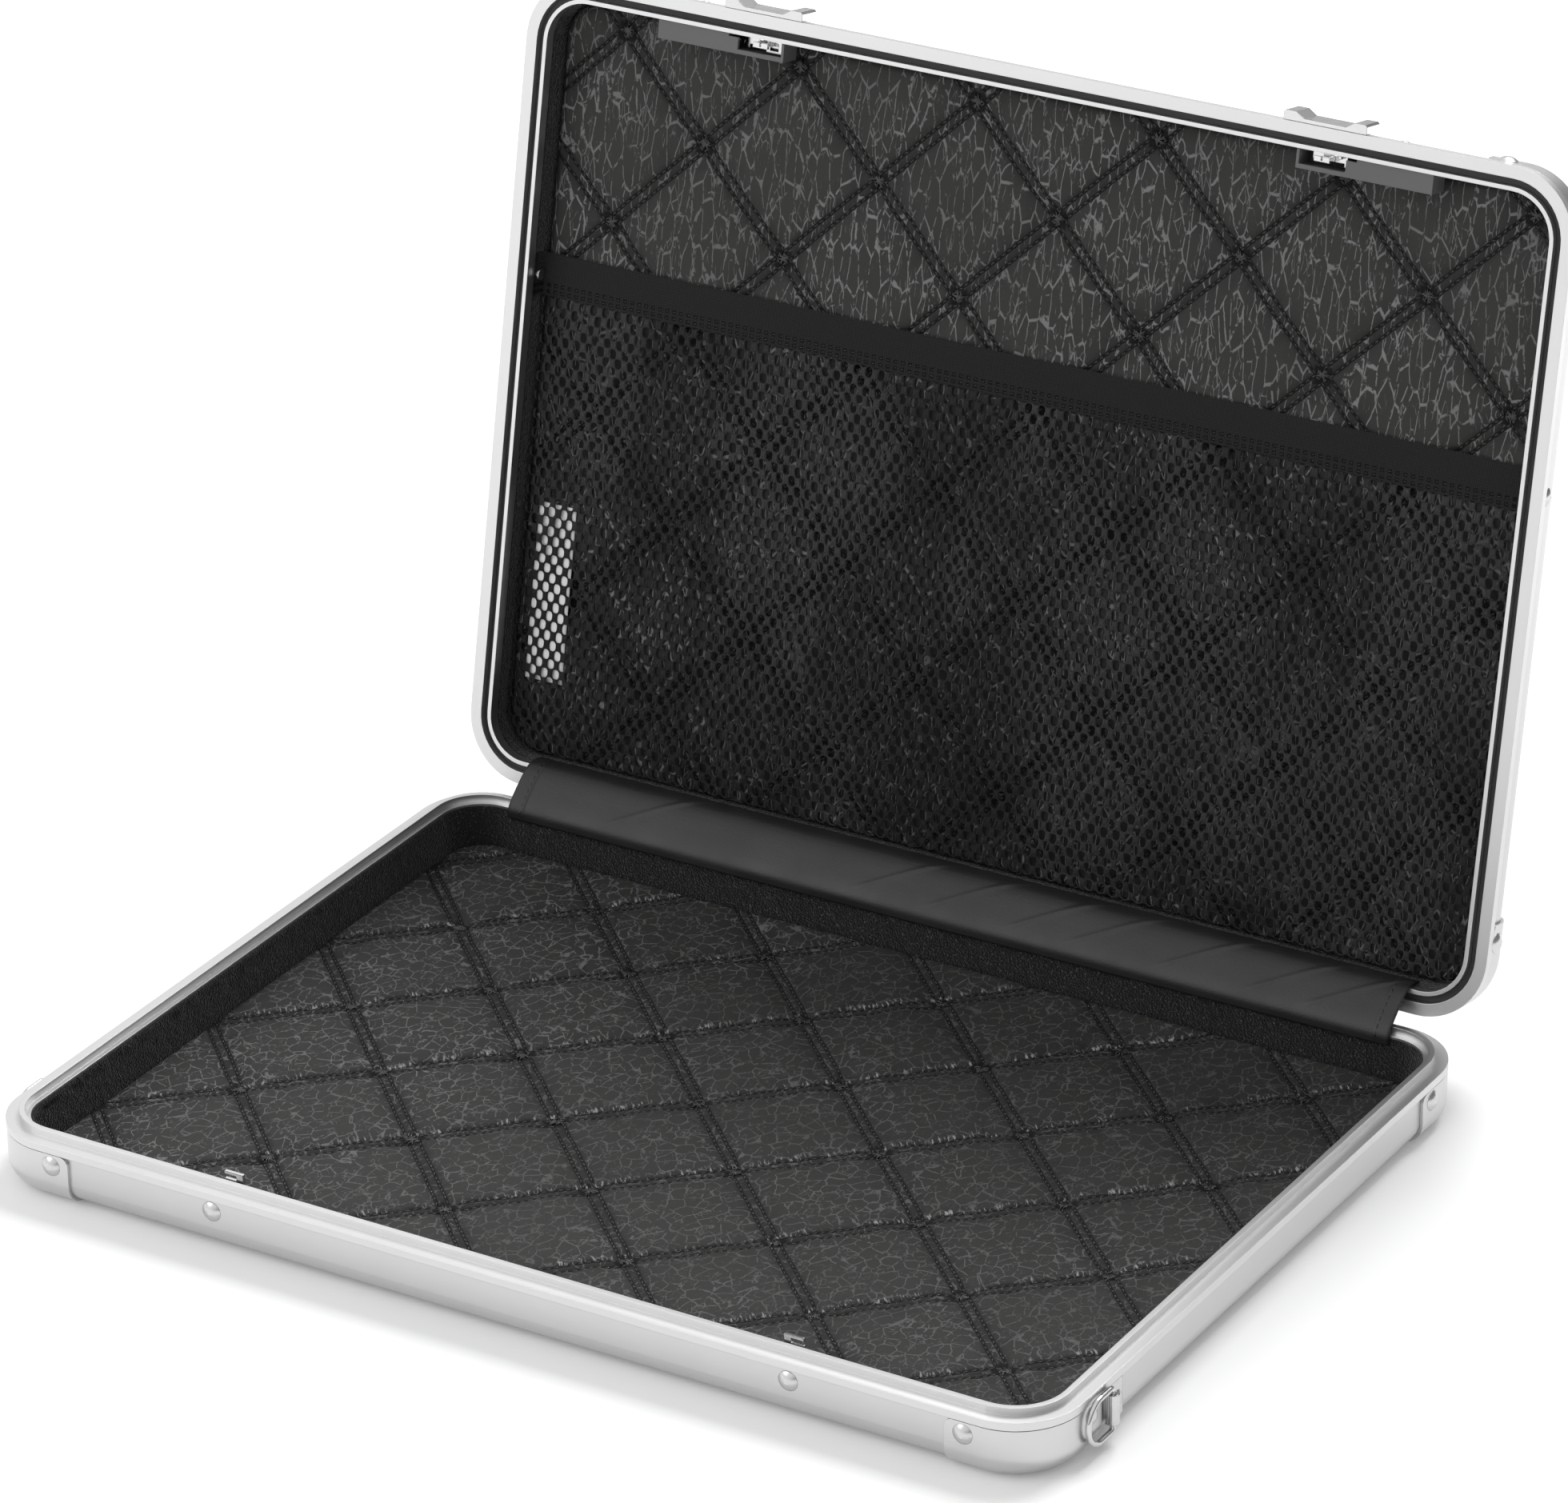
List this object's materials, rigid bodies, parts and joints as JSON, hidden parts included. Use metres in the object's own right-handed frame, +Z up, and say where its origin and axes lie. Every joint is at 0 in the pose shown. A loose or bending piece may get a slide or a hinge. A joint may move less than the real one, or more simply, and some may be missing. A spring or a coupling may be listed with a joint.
{
  "type": "laptop hard case",
  "caption": "Slim hard case for a laptop: two aluminium shells with quilted pads, hinged at the back, with sliding latches, a mesh pocket and strap rings.",
  "frame": {"origin": "centre of the base shell's flat underside", "axes": "+X to the right along the hinge, +Y from the front to the hinge, +Z up out of the base tray"},
  "size_m": [0.3992, 0.3606, 0.3041],
  "materials": {
    "shell_aluminium": "fine satin anodised",
    "rim_aluminium": "satin anodised extrusion",
    "cap_aluminium": "satin pressed sheet",
    "rivet_metal": "smooth domed",
    "hinge_steel": "plated",
    "latch_chrome": "polished",
    "ring_chrome": "polished",
    "housing_plastic": "smooth grey",
    "spring_steel": "bright wire",
    "seal_rubber": "matt",
    "lining_felt": "black felt",
    "pad_leatherette": "crackled, quilted",
    "flap_leatherette": "plain fine grain",
    "elastic_webbing": "ribbed",
    "pocket_mesh": "open net",
    "label_card": "blank white"
  },
  "bodies": {
    "base": {"base_shell": "shell_aluminium", "base_frame": "rim_aluminium", "base_corner_cap_front_left": "cap_aluminium", "base_corner_cap_front_right": "cap_aluminium", "base_corner_cap_rear_left": "cap_aluminium", "base_corner_cap_rear_right": "cap_aluminium", "base_corner_rivets": "rivet_metal", "striker_rivets": "rivet_metal", "dring_ear_rivets": "rivet_metal", "hinge_base_rivets": "rivet_metal", "hinge_base_leaf": "hinge_steel", "hinge_pin": "hinge_steel", "striker_left": "latch_chrome", "striker_right": "latch_chrome", "dring_ear_left": "ring_chrome", "dring_ear_right": "ring_chrome", "base_wall_lining": "lining_felt", "base_pad": "pad_leatherette", "hinge_flap": "flap_leatherette"},
    "lid": {"lid_shell": "shell_aluminium", "lid_frame": "rim_aluminium", "lid_gasket": "seal_rubber", "lid_corner_cap_front_left": "cap_aluminium", "lid_corner_cap_front_right": "cap_aluminium", "lid_corner_cap_rear_left": "cap_aluminium", "lid_corner_cap_rear_right": "cap_aluminium", "lid_corner_rivets": "rivet_metal", "lid_wall_lining": "lining_felt", "lid_pad": "pad_leatherette", "elastic_band": "elastic_webbing", "elastic_rivets": "rivet_metal", "mesh_pocket": "pocket_mesh", "pocket_label": "label_card", "hinge_lid_leaf": "hinge_steel", "hinge_lid_rivets": "rivet_metal", "latch_housing_rivets": "rivet_metal", "latch_housing_left": "housing_plastic", "latch_housing_right": "housing_plastic", "latch_spring_left": "spring_steel", "latch_spring_right": "spring_steel"},
    "latch_left": {"latch_slide_left": "latch_chrome", "latch_bolt_left": "latch_chrome"},
    "latch_right": {"latch_slide_right": "latch_chrome", "latch_bolt_right": "latch_chrome"},
    "ring_left": {"dring_left": "ring_chrome"},
    "ring_right": {"dring_right": "ring_chrome"}
  },
  "joints": [
    {"name": "lid_hinge", "type": "hinge", "parent": "base", "child": "lid", "pos_m": [0, 0.1446, 0.02], "axis": [1, 0, 0], "range_deg": [0, 101.8], "deforming": ["hinge_flap"]},
    {"name": "latch_left_slide", "type": "slide", "parent": "lid", "child": "latch_left", "axis": [-1, 0, 0], "range_m": [0, 0.005], "stiffness_N_per_m": 400, "springref_m": -0.004, "deforming": ["latch_spring_left"]},
    {"name": "latch_right_slide", "type": "slide", "parent": "lid", "child": "latch_right", "axis": [1, 0, 0], "range_m": [0, 0.005], "stiffness_N_per_m": 400, "springref_m": -0.004, "deforming": ["latch_spring_right"]},
    {"name": "ring_left_swing", "type": "hinge", "parent": "base", "child": "ring_left", "pos_m": [-0.1976, -0.1025, 0.0105], "axis": [0, 0, -1], "range_deg": [0, 150]},
    {"name": "ring_right_swing", "type": "hinge", "parent": "base", "child": "ring_right", "pos_m": [0.1976, -0.1025, 0.0105], "axis": [0, 0, 1], "range_deg": [0, 150]}
  ]
}
